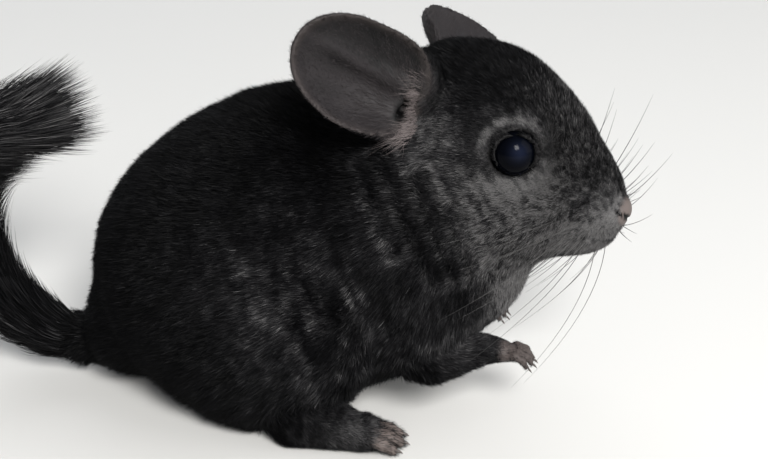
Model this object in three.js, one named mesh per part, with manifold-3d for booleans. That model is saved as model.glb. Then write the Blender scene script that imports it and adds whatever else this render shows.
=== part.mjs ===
// A young black chinchilla at life size, sitting on its haunches with its forepaws held off the floor.
// Millimetres, +Z up. It faces +X, its left side is +Y, and the floor is Z = 0.
// The coat's outer surface is one smooth blend of rounded forms, parted into head, neck, trunk and
// legs by thin cuts. Ears, eyes and the bushy tail are made on their own and set against it.
import * as THREE from "three";
import { mergeVertices } from "three/addons/utils/BufferGeometryUtils.js";
import Module from "manifold-3d";

const wasm = await Module();
wasm.setup();

// Driving sizes
const TRUNK_HEIGHT = 71;
const TRUNK_HALF_WIDTH = 34;
const GAP = 0.3; // left between touching pieces
const ROOM = 0.7; // left round a rounded piece where another is cut clear of it
const EYE_RADIUS = 4.9;
const EAR_LENGTH = 35;
const EAR_WIDTH = 25;
const EAR_CUP = 5; // how deep its hollow is
const EAR_THICKNESS = 1.1;
const PAW_HEIGHT = 17.5; // the forepaws' height above the floor
const TAIL_CORE_RADIUS = 5.6;
const TAIL_LOCK_LENGTH = 19;

// Places that several parts share, for the right side (-Y); the left side mirrors them
const EYE = [29.3, -15.4, 63.7];
const NOSE = [50.2, 0, 49.5];

const X = 0;
const Y = 1;
const Z = 2;
const mirrored = (p) => [p[X], -p[Y], p[Z]];
const degrees = (d) => (d * Math.PI) / 180;

// Rounded forms, each a function that is negative inside, in millimetres from the surface

// An ellipsoid, nose down by `pitch` degrees and turned to the left by `yaw` degrees.
function ellipsoid(centre, radii, pitch = 0, yaw = 0) {
  const [cp, sp] = [Math.cos(degrees(pitch)), Math.sin(degrees(pitch))];
  const [cy, sy] = [Math.cos(degrees(yaw)), Math.sin(degrees(yaw))];
  return (p) => {
    const [x, y, z] = [p[X] - centre[X], p[Y] - centre[Y], p[Z] - centre[Z]];
    const ahead = x * cy + y * sy;
    const side = -x * sy + y * cy;
    const long = (ahead * cp - z * sp) / radii[X];
    const wide = side / radii[Y];
    const high = (ahead * sp + z * cp) / radii[Z];
    const near = Math.hypot(long, wide, high);
    const slope = Math.hypot(long / radii[X], wide / radii[Y], high / radii[Z]);
    return slope < 1e-9 ? -Math.min(...radii) : (near * (near - 1)) / slope;
  };
}

// A limb from `a` to `b`, tapering from radius `ra` to `rb`, with round ends.
function limb(a, b, ra, rb) {
  const way = [b[X] - a[X], b[Y] - a[Y], b[Z] - a[Z]];
  const long2 = way[X] ** 2 + way[Y] ** 2 + way[Z] ** 2;
  return (p) => {
    const off = [p[X] - a[X], p[Y] - a[Y], p[Z] - a[Z]];
    const along = (off[X] * way[X] + off[Y] * way[Y] + off[Z] * way[Z]) / long2;
    const t = Math.min(1, Math.max(0, along));
    const away = Math.hypot(off[X] - t * way[X], off[Y] - t * way[Y], off[Z] - t * way[Z]);
    return away - (ra + t * (rb - ra));
  };
}

// The smooth union of forms, rounded over about `soft` millimetres.
function blend(soft, ...forms) {
  return (p) =>
    forms.map((form) => form(p)).reduce((a, b) => {
      const h = Math.max(soft - Math.abs(a - b), 0) / soft;
      return Math.min(a, b) - (h * h * soft) / 4;
    });
}

// A form and its mirror image on the other side of the body.
const both = (form) => (p) => Math.min(form(p), form(mirrored(p)));

// Meshes and solids

// The closed surface where `form` is zero inside a box, one vertex for each grid cell that it
// crosses, pulled onto the surface.
function surfaceOf(form, low, high, cell) {
  const count = [X, Y, Z].map((k) => Math.ceil((high[k] - low[k]) / cell) + 1);
  const at = (i, j, k) => (i * count[Y] + j) * count[Z] + k;
  const place = (i, j, k) => [low[X] + i * cell, low[Y] + j * cell, low[Z] + k * cell];
  const inBox = (p) =>
    Math.max(...[X, Y, Z].map((k) => Math.max(low[k] + cell - p[k], p[k] - high[k] + cell)));
  const value = (p) => Math.max(form(p), inBox(p));
  const samples = new Float64Array(count[X] * count[Y] * count[Z]);
  for (let i = 0; i < count[X]; i++)
    for (let j = 0; j < count[Y]; j++)
      for (let k = 0; k < count[Z]; k++) samples[at(i, j, k)] = value(place(i, j, k));

  const corners = [0, 1, 2, 3, 4, 5, 6, 7].map((c) => [c & 1, (c >> 1) & 1, (c >> 2) & 1]);
  const edges = [];
  corners.forEach((a, m) =>
    corners.forEach((b, n) => {
      if (n > m && Math.abs(a[0] - b[0]) + Math.abs(a[1] - b[1]) + Math.abs(a[2] - b[2]) === 1)
        edges.push([a, b]);
    }),
  );
  const vertices = [];
  const vertexOf = new Map();
  const steps = 4;
  const reach = cell / 50;
  for (let i = 0; i < count[X] - 1; i++)
    for (let j = 0; j < count[Y] - 1; j++)
      for (let k = 0; k < count[Z] - 1; k++) {
        const sum = [0, 0, 0];
        let crossings = 0;
        for (const [a, b] of edges) {
          const va = samples[at(i + a[0], j + a[1], k + a[2])];
          const vb = samples[at(i + b[0], j + b[1], k + b[2])];
          if (va < 0 === vb < 0) continue;
          const t = va / (va - vb);
          const pa = place(i + a[0], j + a[1], k + a[2]);
          const pb = place(i + b[0], j + b[1], k + b[2]);
          for (const d of [X, Y, Z]) sum[d] += pa[d] + t * (pb[d] - pa[d]);
          crossings++;
        }
        if (!crossings) continue;
        const p = sum.map((s) => s / crossings);
        const start = [...p];
        for (let n = 0; n < steps; n++) {
          const here = value(p);
          const slope = [X, Y, Z].map((d) => {
            const q = [...p];
            q[d] += reach;
            return (value(q) - here) / reach;
          });
          const steep = Math.max(0.2, slope[X] ** 2 + slope[Y] ** 2 + slope[Z] ** 2);
          for (const d of [X, Y, Z]) p[d] -= (here * slope[d]) / steep;
        }
        // A vertex stays in its own cell, so that the surface never folds.
        const kept = p.map((v, d) => Math.min(start[d] + cell / 2, Math.max(start[d] - cell / 2, v)));
        vertexOf.set(at(i, j, k), vertices.length / 3);
        vertices.push(...kept);
      }

  const faces = [];
  const quad = (a, b, c, d, turned) =>
    turned ? faces.push(a, c, b, a, d, c) : faces.push(a, b, c, a, c, d);
  const beside = [
    [[0, 0, 0], [0, 1, 0], [0, 1, 1], [0, 0, 1]],
    [[0, 0, 0], [0, 0, 1], [1, 0, 1], [1, 0, 0]],
    [[0, 0, 0], [1, 0, 0], [1, 1, 0], [0, 1, 0]],
  ];
  for (let i = 1; i < count[X] - 1; i++)
    for (let j = 1; j < count[Y] - 1; j++)
      for (let k = 1; k < count[Z] - 1; k++)
        for (const d of [X, Y, Z]) {
          const next = [i, j, k];
          next[d]++;
          const here = samples[at(i, j, k)] < 0;
          if (here === samples[at(...next)] < 0) continue;
          const ring = beside[d].map((o) => vertexOf.get(at(i - o[0], j - o[1], k - o[2])));
          quad(...ring, !here);
        }
  const made = new THREE.BufferGeometry();
  made.setAttribute("position", new THREE.Float32BufferAttribute(vertices, 3));
  made.setIndex(faces);
  return made;
}

// A closed geometry as a solid that can be joined and cut.
function solid(geometry) {
  const bare = new THREE.BufferGeometry();
  bare.setAttribute("position", geometry.getAttribute("position"));
  if (geometry.index) bare.setIndex(geometry.index);
  const merged = mergeVertices(bare, 1e-4);
  return new wasm.Manifold(
    new wasm.Mesh({
      numProp: 3,
      vertProperties: new Float32Array(merged.attributes.position.array),
      triVerts: new Uint32Array(merged.index.array),
    }),
  );
}

// The solid's largest closed surface, as a geometry.
function geometryOf(made) {
  const largest = made.decompose().sort((a, b) => b.volume() - a.volume())[0];
  const mesh = largest.getMesh();
  const stride = mesh.numProp;
  const positions = new Float32Array(mesh.numVert * 3);
  for (let i = 0; i < mesh.numVert; i++)
    positions.set(mesh.vertProperties.subarray(i * stride, i * stride + 3), i * 3);
  const geometry = new THREE.BufferGeometry();
  geometry.setAttribute("position", new THREE.BufferAttribute(positions, 3));
  geometry.setIndex(new THREE.BufferAttribute(new Uint32Array(mesh.triVerts), 1));
  return geometry;
}

// Everything on one side of a plane through `point`, as a large block facing along `normal`.
function sideOf(point, normal) {
  const size = 400;
  const block = new THREE.BoxGeometry(size, size, size);
  block.translate(0, 0, size / 2);
  const turn = new THREE.Quaternion().setFromUnitVectors(
    new THREE.Vector3(0, 0, 1),
    new THREE.Vector3(...normal).normalize(),
  );
  block.applyQuaternion(turn);
  block.translate(...point);
  return solid(block);
}

const shifted = (point, normal, distance) => {
  const n = new THREE.Vector3(...normal).normalize();
  return [point[X] + n.x * distance, point[Y] + n.y * distance, point[Z] + n.z * distance];
};

// A ball stretched to `radii`, for cutting and for eyes.
function ballAt(centre, radii, pitch = 0, yaw = 0, around = 24) {
  const ball = new THREE.SphereGeometry(1, around, Math.round(around * 0.6));
  ball.scale(...radii);
  ball.rotateY(degrees(pitch));
  ball.rotateZ(degrees(yaw));
  ball.translate(...centre);
  return solid(ball);
}

// A closed body of rings of points, capped at both ends.
function ringed(rings) {
  const around = rings[0].length;
  const vertices = rings.flat().flatMap((p) => [p.x, p.y, p.z]);
  const faces = [];
  for (let r = 0; r < rings.length - 1; r++)
    for (let c = 0; c < around; c++) {
      const next = (c + 1) % around;
      const [a, b] = [r * around + c, r * around + next];
      faces.push(a, b, b + around, a, b + around, a + around);
    }
  const last = (rings.length - 1) * around;
  for (let c = 1; c < around - 1; c++) faces.push(0, c + 1, c, last, last + c, last + c + 1);
  const body = new THREE.BufferGeometry();
  body.setAttribute("position", new THREE.Float32BufferAttribute(vertices, 3));
  body.setIndex(faces);
  const made = solid(body);
  if (made.volume() > 0) return made;
  const turned = [];
  for (let i = 0; i < faces.length; i += 3) turned.push(faces[i], faces[i + 2], faces[i + 1]);
  body.setIndex(turned);
  return solid(body);
}

// A finger or toe through `points`, with the radius at each, closed by a small blunt end.
function digit(points, radii) {
  const around = 7;
  const places = points.map((p) => new THREE.Vector3(...p));
  return ringed(
    places.map((place, n) => {
      const before = places[Math.max(0, n - 1)];
      const after = places[Math.min(places.length - 1, n + 1)];
      const along = after.clone().sub(before).normalize();
      const side = new THREE.Vector3(0, 1, 0).addScaledVector(along, -along.y).normalize();
      const up = new THREE.Vector3().crossVectors(along, side);
      return Array.from({ length: around }, (_, c) => {
        const turn = (2 * Math.PI * (c + 0.5)) / around;
        return place
          .clone()
          .addScaledVector(side, radii[n] * Math.cos(turn))
          .addScaledVector(up, radii[n] * Math.sin(turn));
      });
    }),
  );
}

// The coat's outer surface

const thigh = ellipsoid([-22, -23, 20], [25, 14.5, 21.5], -12, -6);
const upperArm = ellipsoid([13, -17, 30], [10, 9, 17], 14);
const trunk = blend(
  12,
  ellipsoid([-36, 0, 28.5], [30, TRUNK_HALF_WIDTH, 30.5]),
  ellipsoid([-18, 0, 39.5], [32, 30, TRUNK_HEIGHT - 39.5]),
  ellipsoid([9, 0, 42], [22, 24.5, 28]),
  ellipsoid([-22, 0, 20], [38, 29, 20]),
);
const rump = ellipsoid([-56, -3, 13], [13, 19, 13]);
const chest = ellipsoid([19, 0, 34], [13, 15, 15], 20);
const neck = ellipsoid([9, 0, 56], [21, 21, 22], 40);
const body = blend(7, trunk, rump, chest, neck, both(thigh), both(upperArm));

const skull = ellipsoid([21.5, 0, 65], [20, 18.5, 17.2], 22);
const face = ellipsoid([33, 0, 57.5], [16.5, 12.5, 13.5], 46);
const muzzle = ellipsoid([42.3, 0, 49.5], [8.6, 7.8, 9], 34);
const cheek = ellipsoid([27, -9, 53], [14.5, 10.5, 12.5], 30, 14);
const jaw = ellipsoid([35, 0, 44.5], [11, 8.5, 7.2], 10);
const whiskerPad = ellipsoid([44.4, -3.6, 46.4], [5.4, 4.6, 5.2], 30);
const brow = ellipsoid([28.6, -11.5, 69.2], [7.5, 4.8, 3.4], 18);
const head = blend(6, skull, face, muzzle, both(cheek), jaw, both(whiskerPad), both(brow));
const coat = blend(8, body, head);

// Forelegs: the forearm comes forward out of the chest, nearly level

const ELBOW = [14, -16.5, PAW_HEIGHT];
const WRIST = [26, -10.5, PAW_HEIGHT];
const forearm = limb(ELBOW, WRIST, 6.2, 3.1);

// A forepaw with four fingers that curl down and a thumb's stub.
const pawForm = blend(
  0.9,
  ellipsoid([28.5, -10.3, PAW_HEIGHT - 0.4], [3.6, 2.8, 2], 8),
  limb([25, -10.8, PAW_HEIGHT], [28, -10.3, PAW_HEIGHT - 0.2], 3, 2.3),
);
const fingerWays = [-1.5, -0.5, 0.5, 1.5].map((n) => [
  [29.2, -10.3 + 1.25 * n, PAW_HEIGHT - 0.4],
  [31.6 - 0.3 * n * n, -10.2 + 1.65 * n, PAW_HEIGHT],
  [33.6 - 0.35 * n * n, -10.1 + 1.95 * n, PAW_HEIGHT - 0.8],
  [34.6 - 0.4 * n * n, -10.1 + 2.05 * n, PAW_HEIGHT - 2.2],
  [34.8 - 0.4 * n * n, -10.1 + 2.05 * n, PAW_HEIGHT - 3],
]);
const fingers = fingerWays.map((way) => digit(way, [0.9, 0.95, 0.88, 0.75, 0.35]));
const handForm = blend(1, pawForm, ...fingerWays.map((way) => limb(way[1], way[3], 1.1, 1.1)));
const thumb = digit(
  [
    [27.6, -9, PAW_HEIGHT - 1],
    [28.8, -8, PAW_HEIGHT - 2],
    [29.6, -7.6, PAW_HEIGHT - 3],
    [29.8, -7.6, PAW_HEIGHT - 3.6],
  ],
  [0.9, 0.85, 0.7, 0.3],
);

// A long hind foot, flat on the floor, with three big toes and a small inner one.
const HEEL = [-14, -28.5, 4.4];
const INSTEP = [1, -27.5, 4.2];
const footForm = blend(
  1.6,
  limb(HEEL, INSTEP, 4.6, 4.1),
  limb([-12, -27.5, 7.5], [-4, -27.5, 6.2], 5.4, 4),
);
const toes = [-1, 0, 1].map((n) =>
  digit(
    [
      [-0.5, -27.2 + 2.1 * n, 3.2],
      [3.4 - 0.3 * n * n, -26.8 + 2.7 * n, 3.5],
      [6.6 - 0.6 * n * n, -26.4 + 3.1 * n, 2.9],
      [9 - 0.9 * n * n, -26.1 + 3.35 * n, 1.7],
      [10.2 - 1 * n * n, -26 + 3.4 * n, 1],
    ],
    [1.9, 2, 1.75, 1.45, 0.7],
  ),
);
const innerToe = digit(
  [
    [-4, -24, 3],
    [-1, -22.8, 2.5],
    [1.6, -22, 1.7],
    [2.6, -21.8, 1.2],
  ],
  [1.6, 1.6, 1.3, 0.7],
);

// Cuts between head, neck, trunk and legs

const THROAT_CUT = { point: [17, 0, 56], normal: [0.86, 0, 0.51] };
const SHOULDER_CUT = { point: [5, 0, 52], normal: [0.8, 0, 0.6] };
const FLOOR = sideOf([0, 0, 0], [0, 0, 1]);
const WRIST_CUT = { point: [26.7, -10.5, PAW_HEIGHT], normal: [0.97, 0.2, -0.05] };

const CUTTER_SEGMENTS = 22;
const THIGH_CUTTER = { centre: [-21, -31, 18], radii: [24, 17, 22.5], pitch: -12, yaw: -6 };
const ARM_CUTTER = { centre: [16.5, -19, 22.5], radii: [13.5, 12, 13.5], pitch: 20, yaw: 0 };

const cutter = ({ centre, radii, pitch, yaw }, side, grow) =>
  ballAt(
    side < 0 ? centre : mirrored(centre),
    radii.map((r) => r + grow),
    pitch,
    side < 0 ? yaw : -yaw,
    CUTTER_SEGMENTS,
  );

const cutPlane = (cut, side, offset) => {
  const normal = side < 0 ? cut.normal : mirrored(cut.normal);
  const point = side < 0 ? cut.point : mirrored(cut.point);
  return [shifted(point, normal, offset), normal];
};

const behind = ([point, normal]) => sideOf(point, normal.map((n) => -n));
const ahead = ([point, normal]) => sideOf(point, normal);

const SIDES = { right: -1, left: 1 };

// A right-hand geometry, or its mirror image for the left side.
function onSide(geometry, side) {
  if (side < 0) return geometry;
  const other = geometry.clone().scale(1, -1, 1);
  other.setIndex(Array.from(geometry.index.array).reverse());
  return other;
}

// The left foreleg is tucked back under the chest.
const ARM_BACK = { right: 0, left: 8.5 };

// Trunk and neck

const [TRUNK_CELL, NECK_CELL, HEAD_CELL] = [5.4, 4, 2.5];
const trunkMesh = solid(surfaceOf(coat, [-82, -48, -8], [44, 48, 88], TRUNK_CELL));
let torso = trunkMesh.intersect(behind(cutPlane(SHOULDER_CUT, -1, -GAP / 2)));
let neckPiece = solid(surfaceOf(coat, [-30, -36, 8], [50, 36, 96], NECK_CELL))
  .intersect(ahead(cutPlane(SHOULDER_CUT, -1, GAP / 2)))
  .intersect(behind(cutPlane(THROAT_CUT, -1, -GAP / 2)));

// Hind legs and feet

const [FOOT_CELL, ARM_CELL, PAW_CELL] = [2.2, 3.2, 1.1];
const legs = {};
const footBox = [[-26, -42, -3], [18, -14, 18]];
const rightFoot = [...toes, innerToe].reduce(
  (made, toe) => made.add(toe),
  solid(surfaceOf(footForm, ...footBox, FOOT_CELL)),
);
const footMesh = geometryOf(rightFoot);
const footRoom = surfaceOf((p) => footForm(p) - ROOM, ...footBox, FOOT_CELL);
for (const [name, side] of Object.entries(SIDES)) {
  const room = solid(onSide(footRoom, side));
  legs["hind_leg_" + name] = trunkMesh.intersect(cutter(THIGH_CUTTER, side, -GAP / 2)).subtract(room);
  legs["hind_foot_" + name] = solid(onSide(footMesh, side));
  torso = torso.subtract(cutter(THIGH_CUTTER, side, GAP / 2)).subtract(room);
}

// Forelegs and paws

const pawBox = [[22, -17, 11], [38, -4, 22]];
const rightPaw = [...fingers, thumb].reduce(
  (made, finger) => made.add(finger),
  solid(surfaceOf(pawForm, ...pawBox, PAW_CELL)),
);
const pawMesh = geometryOf(rightPaw);
const pawRoom = surfaceOf((p) => handForm(p) - ROOM, ...pawBox, 1.4 * PAW_CELL);
for (const [name, side] of Object.entries(SIDES)) {
  const back = ARM_BACK[name];
  const setBack = (geometry) => onSide(geometry, side).clone().translate(-back, 0, 0);
  const armBall = { ...ARM_CUTTER, centre: [ARM_CUTTER.centre[X] - back, ...ARM_CUTTER.centre.slice(1)] };
  const wristCut = { ...WRIST_CUT, point: [WRIST_CUT.point[X] - back, ...WRIST_CUT.point.slice(1)] };
  const armForm = blend(5, coat, (p) => forearm([p[X] + back, p[Y], p[Z]]));
  const armMesh = surfaceOf(armForm, [-2 - back, -36, 2], [36 - back, 1, 44], ARM_CELL);
  const room = solid(setBack(pawRoom));
  legs["fore_leg_" + name] = solid(onSide(armMesh, side))
    .intersect(cutter(armBall, side, -GAP / 2))
    .intersect(behind(cutPlane(wristCut, side, -GAP / 2)))
    .intersect(behind(cutPlane(SHOULDER_CUT, side, -GAP / 2)))
    .subtract(cutter(THIGH_CUTTER, side, GAP / 2));
  legs["forepaw_" + name] = solid(setBack(pawMesh)).intersect(ahead(cutPlane(wristCut, side, GAP / 2)));
  torso = torso.subtract(cutter(armBall, side, GAP / 2)).subtract(room);
  neckPiece = neckPiece.subtract(cutter(armBall, side, GAP / 2)).subtract(room);
}

// Head, with lids, nostrils and the line of the mouth

const headLow = [-6, -30, 24];
const headHigh = [60, 30, 92];
let headPiece = solid(surfaceOf(coat, headLow, headHigh, HEAD_CELL)).intersect(
  ahead(cutPlane(THROAT_CUT, -1, GAP / 2)),
);
const EYE_OUTWARD = [0.24, -0.96, 0.14];
const [LID_RADIUS, LID_THICKNESS, LID_DISTANCE] = [4.3, 0.8, 2.6];
const eyes = {};
for (const [name, side] of Object.entries(SIDES)) {
  const centre = side < 0 ? EYE : mirrored(EYE);
  const lids = new THREE.TorusGeometry(LID_RADIUS, LID_THICKNESS, 6, 18);
  lids.scale(1.1, 0.96, 1);
  lids.rotateZ(degrees(-12));
  lids.rotateX(degrees(90));
  lids.rotateZ(degrees(14));
  lids.translate(...shifted(EYE, EYE_OUTWARD, LID_DISTANCE));
  if (side > 0) {
    lids.scale(1, -1, 1);
    lids.index.array.reverse();
  }
  headPiece = headPiece.add(solid(lids)).subtract(ballAt(centre, Array(3).fill(EYE_RADIUS + GAP), 0, 0, 16));
  eyes["eye_" + name] = ballAt(centre, Array(3).fill(EYE_RADIUS), 0, 0, 16);
}

// A round-ended rod along a smooth curve, for cutting grooves.
function groove(points, radius, steps) {
  const curve = new THREE.CatmullRomCurve3(points.map((p) => new THREE.Vector3(...p)));
  const section = new THREE.Shape().absarc(0, 0, radius, 0, 2 * Math.PI);
  return solid(
    new THREE.ExtrudeGeometry(section, { steps, curveSegments: 3, extrudePath: curve, bevelEnabled: false }),
  );
}

const mouthLine = [-6.5, -3.5, 0, 3.5, 6.5].map((y) => [
  NOSE[X] - 1.6 - 0.17 * y * y,
  y,
  NOSE[Z] - 8.2 - 0.045 * y * y,
]);
headPiece = headPiece.subtract(groove(mouthLine, 0.55, 14));
const philtrum = [
  [NOSE[X] + 2.2, 0, NOSE[Z] - 2.6],
  [NOSE[X] + 1.4, 0, NOSE[Z] - 5.4],
  [NOSE[X] - 0.8, 0, NOSE[Z] - 8.4],
];
headPiece = headPiece.subtract(groove(philtrum, 0.4, 5));
for (const side of Object.values(SIDES)) {
  const nostril = [
    [NOSE[X] + 2, side * 1, NOSE[Z] - 2.2],
    [NOSE[X] + 1.2, side * 2.4, NOSE[Z] - 1.4],
    [NOSE[X] - 0.6, side * 3.6, NOSE[Z] - 0.4],
  ];
  headPiece = headPiece.subtract(groove(nostril, 0.5, 6));
}

// Ears: a thin cupped leaf with a rolled rim, wide and round, narrowing to the root

// Where the leaf is, `out` from its middle (0) to its rim (1) and `turn` round it from the root.
function earPoint(out, turn, depth) {
  const narrowing = 1 - 0.28 * (1 + Math.cos(turn)) * 0.5;
  const across = (EAR_WIDTH / 2) * out * Math.sin(turn) * narrowing;
  const along = EAR_LENGTH * (0.5 - 0.5 * out * Math.cos(turn));
  const cup = EAR_CUP * out * out * (1.35 - 0.75 * (along / EAR_LENGTH));
  const roll = 0.9 * out ** 8;
  return [across, along, cup + roll + depth];
}

function earLeaf() {
  const [rings, around] = [6, 22];
  const vertices = [];
  const faces = [];
  const sheet = (depth) => {
    const first = vertices.length / 3;
    vertices.push(...earPoint(0, 0, depth));
    for (let r = 1; r <= rings; r++)
      for (let c = 0; c < around; c++)
        vertices.push(...earPoint((r / rings) ** 0.85, (2 * Math.PI * c) / around, depth));
    return first;
  };
  const front = sheet(EAR_THICKNESS / 2);
  const back = sheet(-EAR_THICKNESS / 2);
  const at = (first, r, c) => first + 1 + (r - 1) * around + (c % around);
  for (let c = 0; c < around; c++) {
    faces.push(front, at(front, 1, c), at(front, 1, c + 1));
    faces.push(back, at(back, 1, c + 1), at(back, 1, c));
    for (let r = 1; r < rings; r++) {
      const f = [at(front, r, c), at(front, r + 1, c), at(front, r + 1, c + 1), at(front, r, c + 1)];
      const b = f.map((v) => v - front + back);
      faces.push(f[0], f[1], f[2], f[0], f[2], f[3], b[0], b[2], b[1], b[0], b[3], b[2]);
    }
    const rim = [at(front, rings, c), at(front, rings, c + 1), at(back, rings, c), at(back, rings, c + 1)];
    faces.push(rim[0], rim[2], rim[3], rim[0], rim[3], rim[1]);
  }
  const leaf = new THREE.BufferGeometry();
  leaf.setAttribute("position", new THREE.Float32BufferAttribute(vertices, 3));
  leaf.setIndex(faces);
  return leaf;
}

// Each ear is held its own way: `tip` is where it points and `open` where its hollow looks.
const EARS = {
  right: { root: [10.5, -13.5, 70.5], tip: [-0.71, -0.42, 0.56], open: [0.34, -0.86, 0.2] },
  left: { root: [8, 12, 66.5], tip: [-0.05, 0.99, 0], open: [0.82, 0, 0.54] },
};
const headRoom = solid(surfaceOf((p) => coat(p) - GAP, headLow, headHigh, NECK_CELL));
const ears = {};
for (const [name, { root, tip, open }] of Object.entries(EARS)) {
  const long = new THREE.Vector3(...tip).normalize();
  const hollow = new THREE.Vector3(...open);
  hollow.addScaledVector(long, -hollow.dot(long)).normalize();
  const wide = new THREE.Vector3().crossVectors(long, hollow);
  const leaf = earLeaf();
  leaf.applyMatrix4(new THREE.Matrix4().makeBasis(wide, long, hollow));
  leaf.translate(...root);
  ears["ear_" + name] = solid(leaf).subtract(headRoom);
}

// Tail: a core along one curve, with flat tapered locks that lie along it towards the tip

const TAIL_PATH = new THREE.CatmullRomCurve3(
  [
    [-62, -8, 9],
    [-74, -9.5, 9.5],
    [-86, -11, 17.5],
    [-95, -11.5, 30],
    [-97, -10.5, 43],
    [-91.5, -8.5, 53],
    [-83, -6.5, 57.5],
  ].map((p) => new THREE.Vector3(...p)),
);
const TAIL_CUTS = [0.36, 0.68];

// Directions across the tail at `t`: sideways and towards the inside of its curl.
function tailFrame(t) {
  const along = TAIL_PATH.getTangentAt(t);
  const side = new THREE.Vector3(0, 1, 0).addScaledVector(along, -along.y).normalize();
  const inward = new THREE.Vector3().crossVectors(side, along).normalize();
  return { centre: TAIL_PATH.getPointAt(t), along, side, inward };
}

function tailCore() {
  const [rings, around] = [20, 10];
  return ringed(
    Array.from({ length: rings + 1 }, (_, r) => {
      const t = r / rings;
      const { centre, side, inward } = tailFrame(t);
      const radius = TAIL_CORE_RADIUS * (t > 0.8 ? 1 - 0.75 * ((t - 0.8) / 0.2) ** 1.5 : 1);
      return Array.from({ length: around }, (_, c) => {
        const turn = (2 * Math.PI * c) / around;
        return centre
          .clone()
          .addScaledVector(side, radius * Math.cos(turn))
          .addScaledVector(inward, radius * Math.sin(turn));
      });
    }),
  );
}

// A lock rooted in the core at `t` and `turn`, leaving it at a slant and bending along the tail.
function tailLock({ t, turn, length, width, spread }) {
  const stations = [0, 0.4, 1];
  return ringed(
    stations.map((s) => {
      const reached = t + (s * length) / TAIL_PATH.getLength();
      const { centre, along, side, inward } = tailFrame(Math.min(1, reached));
      const beyond = Math.max(0, reached - 1) * TAIL_PATH.getLength();
      const out = side.clone().multiplyScalar(Math.cos(turn)).addScaledVector(inward, Math.sin(turn));
      const wide = new THREE.Vector3().crossVectors(along, out);
      const middle = centre
        .clone()
        .addScaledVector(out, TAIL_CORE_RADIUS * 0.5 + spread * Math.sin((s * Math.PI) / 2))
        .addScaledVector(along, beyond);
      const half = 0.5 * width * Math.max(0.06, Math.sin(Math.PI * (0.3 + 0.7 * s)) ** 0.7);
      const thick = 0.15 + 1.25 * (1 - s);
      return [
        middle.clone().addScaledVector(wide, half),
        middle.clone().addScaledVector(out, thick),
        middle.clone().addScaledVector(wide, -half),
        middle.clone().addScaledVector(out, -thick),
      ];
    }),
  );
}

const bodyRoom = solid(surfaceOf((p) => coat(p) - GAP, [-82, -48, -8], [44, 48, 88], TRUNK_CELL));

// Repeatable small differences between 0 and 1.
function draws(seed) {
  let state = seed;
  return () => {
    state = (state * 16807) % 2147483647;
    return state / 2147483647;
  };
}

const draw = draws(20);
const [LOCK_ROWS, LOCKS_AROUND] = [8, 5];
let wholeTail = tailCore();
for (let row = 0; row < LOCK_ROWS; row++)
  for (let n = 0; n < LOCKS_AROUND; n++) {
    const t = 0.08 + (0.87 * row) / (LOCK_ROWS - 1);
    const fullness = Math.min(1, 0.6 + 1.5 * t);
    const lock = {
      t,
      turn: (2 * Math.PI * (n + 0.5 * (row % 2) + 0.25 * (draw() - 0.5))) / LOCKS_AROUND,
      length: TAIL_LOCK_LENGTH * fullness * (0.85 + 0.3 * draw()),
      width: 9 + 1.5 * draw(),
      spread: 6.5 + 2 * draw(),
    };
    wholeTail = wholeTail.add(tailLock(lock));
  }
wholeTail = wholeTail.subtract(bodyRoom);
const [baseCut, tipCut] = TAIL_CUTS.map((t) => ({
  point: TAIL_PATH.getPointAt(t).toArray(),
  normal: TAIL_PATH.getTangentAt(t).toArray(),
}));
const beyondBase = wholeTail.intersect(ahead(cutPlane(baseCut, -1, GAP / 2)));
const tail = {
  tail_base: wholeTail.intersect(behind(cutPlane(baseCut, -1, -GAP / 2))),
  tail_middle: beyondBase.intersect(behind(cutPlane(tipCut, -1, -GAP / 2))),
  tail_tip: beyondBase.intersect(ahead(cutPlane(tipCut, -1, GAP / 2))),
};

const group = new THREE.Group();
const COAT = new THREE.MeshStandardMaterial({ color: 0x17171a, roughness: 0.9, metalness: 0 });
const SKIN = new THREE.MeshStandardMaterial({ color: 0x3d3838, roughness: 0.7, metalness: 0 });
const GLOSS = new THREE.MeshStandardMaterial({ color: 0x06070c, roughness: 0.08, metalness: 0 });

function add(name, made, material) {
  const mesh = new THREE.Mesh(geometryOf(made.intersect(FLOOR)), material);
  mesh.name = name;
  group.add(mesh);
}

add("torso", torso, COAT);
add("neck", neckPiece, COAT);
add("head", headPiece, COAT);
for (const [name, made] of Object.entries(legs)) add(name, made, /paw|foot/.test(name) ? SKIN : COAT);
for (const [name, made] of Object.entries(ears)) add(name, made, SKIN);
for (const [name, made] of Object.entries(eyes)) add(name, made, GLOSS);
for (const [name, made] of Object.entries(tail)) add(name, made, COAT);

// The origin is on the floor, below the middle of the whole outline.
const outline = new THREE.Box3().setFromObject(group);
const middle = outline.getCenter(new THREE.Vector3());
for (const mesh of group.children) mesh.geometry.translate(-middle.x, -middle.y, -outline.min.z);

export default group;
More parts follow.
